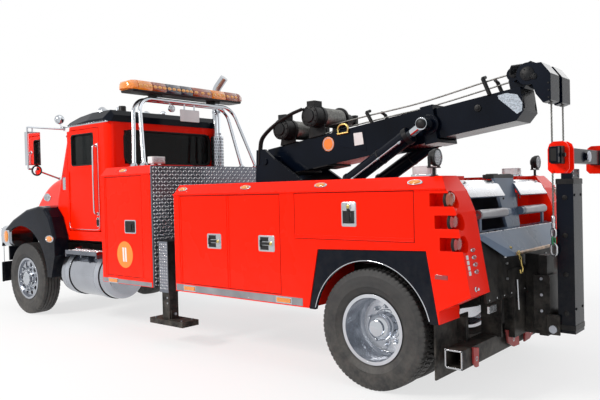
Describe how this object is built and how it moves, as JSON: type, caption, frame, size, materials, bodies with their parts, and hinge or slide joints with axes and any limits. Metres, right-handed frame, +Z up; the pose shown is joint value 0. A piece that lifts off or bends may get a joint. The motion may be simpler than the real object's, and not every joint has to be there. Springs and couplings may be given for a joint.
{
  "type": "tow truck",
  "caption": "Heavy tow truck with a long hood, side toolboxes, a telescopic recovery boom and a folding underlift at the tail.",
  "frame": {"origin": "on the ground under the middle of the truck's length and width", "axes": "+X forward, +Y to the truck's left, +Z up"},
  "size_m": [8.3, 2.94, 3.4404],
  "materials": {
    "red_paint": "gloss",
    "black_paint": "gloss",
    "engine_paint": "satin",
    "chrome": "mirror",
    "polished_alloy": "polished",
    "tread_plate": "bright",
    "silver_steel": "satin",
    "tyre_rubber": "matte",
    "glazing": "clear",
    "cab_trim": "matte",
    "amber_plastic": "gloss"
  },
  "bodies": {
    "chassis": {"chassis_frame": "black_paint", "front_bumper": "black_paint", "engine_block": "engine_paint", "front_axle": "black_paint", "rear_axle": "black_paint", "cab_shell": "red_paint", "cab_roof": "black_paint", "cab_glass": "glazing", "cab_interior": "cab_trim", "fuel_tanks": "polished_alloy", "exhaust_stack": "chrome", "mirrors": "chrome", "tall_boxes": "red_paint", "side_body_left": "red_paint", "side_body_right": "red_paint", "wheel_arches": "black_paint", "deck": "tread_plate", "turret": "black_paint", "tail_apron": "silver_steel", "tailboard": "black_paint", "tread_plates": "tread_plate", "light_pylon": "chrome", "lamps": "amber_plastic"},
    "hood_unit": {"hood": "red_paint", "fenders": "black_paint", "grille": "chrome"},
    "knuckle_left": {"knuckle_left": "black_paint"},
    "front_wheel_left": {"front_tyre_left": "tyre_rubber", "front_rim_left": "polished_alloy"},
    "rear_wheels_left": {"rear_tyres_left": "tyre_rubber", "rear_rims_left": "polished_alloy"},
    "knuckle_right": {"knuckle_right": "black_paint"},
    "front_wheel_right": {"front_tyre_right": "tyre_rubber", "front_rim_right": "polished_alloy"},
    "rear_wheels_right": {"rear_tyres_right": "tyre_rubber", "rear_rims_right": "polished_alloy"},
    "cab_door_left": {"cab_door_left": "red_paint"},
    "tall_door_left": {"tall_door_left": "red_paint"},
    "front_door_left": {"front_door_left": "red_paint"},
    "rear_door_left": {"rear_door_left": "red_paint"},
    "wide_door_left": {"wide_door_left": "red_paint"},
    "cab_door_right": {"cab_door_right": "red_paint"},
    "tall_door_right": {"tall_door_right": "red_paint"},
    "front_door_right": {"front_door_right": "red_paint"},
    "rear_door_right": {"rear_door_right": "red_paint"},
    "wide_door_right": {"wide_door_right": "red_paint"},
    "boom_outer": {"boom_outer": "black_paint", "winches": "black_paint"},
    "boom_inner": {"boom_inner": "black_paint"},
    "load_lines": {"load_lines": "silver_steel"},
    "lift_barrels": {"lift_barrels": "black_paint"},
    "lift_rods": {"lift_rods": "chrome"},
    "underlift_carriage": {"underlift_carriage": "black_paint"},
    "stinger_outer": {"stinger_outer": "black_paint"},
    "stinger_inner": {"stinger_inner": "black_paint"},
    "crossbar": {"crossbar": "black_paint", "wheel_receivers": "red_paint"},
    "jack_leg_left": {"jack_leg_left": "black_paint"},
    "jack_leg_right": {"jack_leg_right": "black_paint"}
  },
  "joints": [
    {"name": "hood_tilt", "type": "hinge", "parent": "chassis", "child": "hood_unit", "pos_m": [4, 0, 0.72], "axis": [0, 1, 0], "range_deg": [0, 65]},
    {"name": "steer_left", "type": "hinge", "parent": "chassis", "child": "knuckle_left", "pos_m": [3.378, 0.88, 0.52], "axis": [0, 0, 1], "range_deg": [-35, 35]},
    {"name": "front_wheel_left_spin", "type": "hinge", "parent": "knuckle_left", "child": "front_wheel_left", "pos_m": [3.378, 1.005, 0.52], "axis": [0, 1, 0], "continuous": true},
    {"name": "rear_wheels_left_spin", "type": "hinge", "parent": "chassis", "child": "rear_wheels_left", "pos_m": [-2.7, 0.8925, 0.52], "axis": [0, 1, 0], "continuous": true},
    {"name": "steer_right", "type": "hinge", "parent": "chassis", "child": "knuckle_right", "pos_m": [3.378, -0.88, 0.52], "axis": [0, 0, 1], "range_deg": [-35, 35]},
    {"name": "front_wheel_right_spin", "type": "hinge", "parent": "knuckle_right", "child": "front_wheel_right", "pos_m": [3.378, -1.005, 0.52], "axis": [0, 1, 0], "continuous": true},
    {"name": "rear_wheels_right_spin", "type": "hinge", "parent": "chassis", "child": "rear_wheels_right", "pos_m": [-2.7, -0.8925, 0.52], "axis": [0, 1, 0], "continuous": true},
    {"name": "cab_door_left_swing", "type": "hinge", "parent": "chassis", "child": "cab_door_left", "pos_m": [2.409, 0.988, 1.3], "axis": [0, 0, -1], "range_deg": [0, 70]},
    {"name": "tall_door_left_swing", "type": "hinge", "parent": "chassis", "child": "tall_door_left", "pos_m": [1.158, 1.225, 1.3], "axis": [0, 0, -1], "range_deg": [0, 95]},
    {"name": "front_door_left_swing", "type": "hinge", "parent": "chassis", "child": "front_door_left", "pos_m": [-0.262, 1.225, 1.3], "axis": [0, 0, -1], "range_deg": [0, 95]},
    {"name": "rear_door_left_swing", "type": "hinge", "parent": "chassis", "child": "rear_door_left", "pos_m": [-1.006, 1.225, 1.3], "axis": [0, 0, -1], "range_deg": [0, 95]},
    {"name": "wide_door_left_drop", "type": "hinge", "parent": "chassis", "child": "wide_door_left", "pos_m": [-2.5335, 1.225, 1.284], "axis": [-1, 0, 0], "range_deg": [0, 90]},
    {"name": "cab_door_right_swing", "type": "hinge", "parent": "chassis", "child": "cab_door_right", "pos_m": [2.409, -0.988, 1.3], "axis": [0, 0, 1], "range_deg": [0, 70]},
    {"name": "tall_door_right_swing", "type": "hinge", "parent": "chassis", "child": "tall_door_right", "pos_m": [1.158, -1.225, 1.3], "axis": [0, 0, 1], "range_deg": [0, 95]},
    {"name": "front_door_right_swing", "type": "hinge", "parent": "chassis", "child": "front_door_right", "pos_m": [-0.262, -1.225, 1.3], "axis": [0, 0, 1], "range_deg": [0, 95]},
    {"name": "rear_door_right_swing", "type": "hinge", "parent": "chassis", "child": "rear_door_right", "pos_m": [-1.006, -1.225, 1.3], "axis": [0, 0, 1], "range_deg": [0, 95]},
    {"name": "wide_door_right_drop", "type": "hinge", "parent": "chassis", "child": "wide_door_right", "pos_m": [-2.5335, -1.225, 1.284], "axis": [1, 0, 0], "range_deg": [0, 90]},
    {"name": "boom_lift", "type": "hinge", "parent": "chassis", "child": "boom_outer", "pos_m": [-0.77, 0, 2.05], "axis": [0, 1, 0], "range_deg": [0, 40]},
    {"name": "boom_extend", "type": "slide", "parent": "boom_outer", "child": "boom_inner", "axis": [-0.9914, 0, 0.1305], "range_m": [0, 1.5]},
    {"name": "line_hang", "type": "hinge", "parent": "boom_inner", "child": "load_lines", "pos_m": [-3.775, 0, 2.63], "axis": [0, 1, 0], "range_deg": [-40, 0]},
    {"name": "barrel_swing", "type": "hinge", "parent": "chassis", "child": "lift_barrels", "pos_m": [-1.78, 0, 1.74], "axis": [0, 1, 0], "range_deg": [0, 49.3]},
    {"name": "rod_slide", "type": "slide", "parent": "lift_barrels", "child": "lift_rods", "axis": [-0.8624, 0, 0.5062], "range_m": [0, 0.694]},
    {"name": "underlift_lift", "type": "slide", "parent": "chassis", "child": "underlift_carriage", "axis": [0, 0, 1], "range_m": [-0.17, 0.45]},
    {"name": "stinger_fold", "type": "hinge", "parent": "underlift_carriage", "child": "stinger_outer", "pos_m": [-3.868, 0, 0.48], "axis": [0, -1, 0], "range_deg": [0, 90]},
    {"name": "stinger_extend", "type": "slide", "parent": "stinger_outer", "child": "stinger_inner", "axis": [0, 0, 1], "range_m": [0, 0.9]},
    {"name": "crossbar_swivel", "type": "hinge", "parent": "stinger_inner", "child": "crossbar", "pos_m": [-4.08, 0, 1.94], "axis": [1, 0, 0], "range_deg": [-45, 45]},
    {"name": "jack_left_lower", "type": "slide", "parent": "chassis", "child": "jack_leg_left", "axis": [0, 0, -1], "range_m": [0, 0.235]},
    {"name": "jack_right_lower", "type": "slide", "parent": "chassis", "child": "jack_leg_right", "axis": [0, 0, -1], "range_m": [0, 0.235]}
  ],
  "couplings": [
    {"joint": "steer_right", "follows": "steer_left", "ratio": 1},
    {"joint": "line_hang", "follows": "boom_lift", "ratio": -1},
    {"joint": "barrel_swing", "follows": "boom_lift", "ratio": 1.2191},
    {"joint": "rod_slide", "follows": "boom_lift", "m_per_rad": 0.9866}
  ]
}
